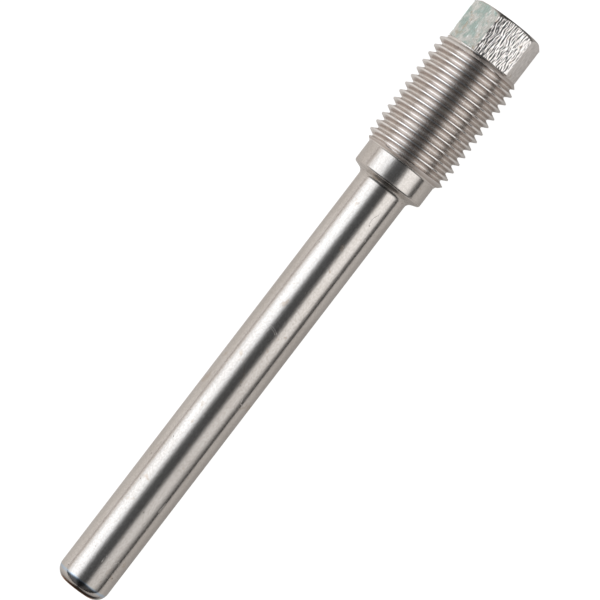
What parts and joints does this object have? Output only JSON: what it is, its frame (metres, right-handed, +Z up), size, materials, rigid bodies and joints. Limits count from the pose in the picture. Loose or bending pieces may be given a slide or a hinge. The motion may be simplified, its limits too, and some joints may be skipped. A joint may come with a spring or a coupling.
{
  "type": "screw-in thermocouple probe",
  "caption": "Screw-in thermocouple probe: slim stainless pocket with collar, parallel pipe thread and hexagon, holding a spring-loaded measuring insert with two plug pins.",
  "frame": {"origin": "on the probe's axis, where the pipe thread begins, at its end next to the collar", "axes": "+X along the probe from the sensing tip to the hexagon, +Z up; the probe lies level, as it does when screwed into the side of a boiler, and one flat of the hexagon faces 13.5 degrees off +Z towards -Y"},
  "size_m": [0.1, 0.0132, 0.0132],
  "materials": {
    "stainless_turned": "turned and lightly polished stainless steel",
    "stainless_weld": "welded and dressed stainless steel with a faint straw heat tint",
    "plated_steel": "coarse sawn and plated steel with a faint green-grey passivation",
    "bronze_bush": "sintered bronze, dull",
    "spring_steel": "bright drawn spring wire",
    "seal_rubber": "matt black fluorocarbon rubber",
    "nickel_alloy": "drawn nickel-alloy sheath",
    "packed_oxide": "compacted white mineral oxide",
    "positive_alloy": "nickel-chromium thermocouple alloy",
    "negative_alloy": "nickel-aluminium thermocouple alloy",
    "sealing_resin": "amber-brown cast sealing resin",
    "potting_resin": "dark filled potting resin",
    "ceramic_insulator": "fired ivory-white ceramic, matt"
  },
  "bodies": {
    "pocket": {"probe_body": "stainless_turned", "tip_plug": "stainless_weld", "hex_head": "plated_steel", "guide_bush": "bronze_bush", "spring_washer": "spring_steel", "insert_spring": "spring_steel", "o_ring_seal": "seal_rubber", "snap_ring": "spring_steel"},
    "measuring_insert": {"insert_sheath": "nickel_alloy", "sheath_end_cap": "nickel_alloy", "oxide_core": "packed_oxide", "junction_bead": "nickel_alloy", "positive_wire": "positive_alloy", "negative_wire": "negative_alloy", "sheath_end_seal": "sealing_resin", "transition_sleeve": "stainless_turned", "potting_compound": "potting_resin", "terminal_insulator": "ceramic_insulator", "positive_pin": "positive_alloy", "negative_pin": "negative_alloy"}
  },
  "joints": [
    {"name": "insert_slide", "type": "slide", "parent": "pocket", "child": "measuring_insert", "axis": [1, 0, 0], "range_m": [0, 0.0025], "stiffness_N_per_m": 530, "springref_m": -0.00205, "deforming": ["insert_spring"]}
  ]
}
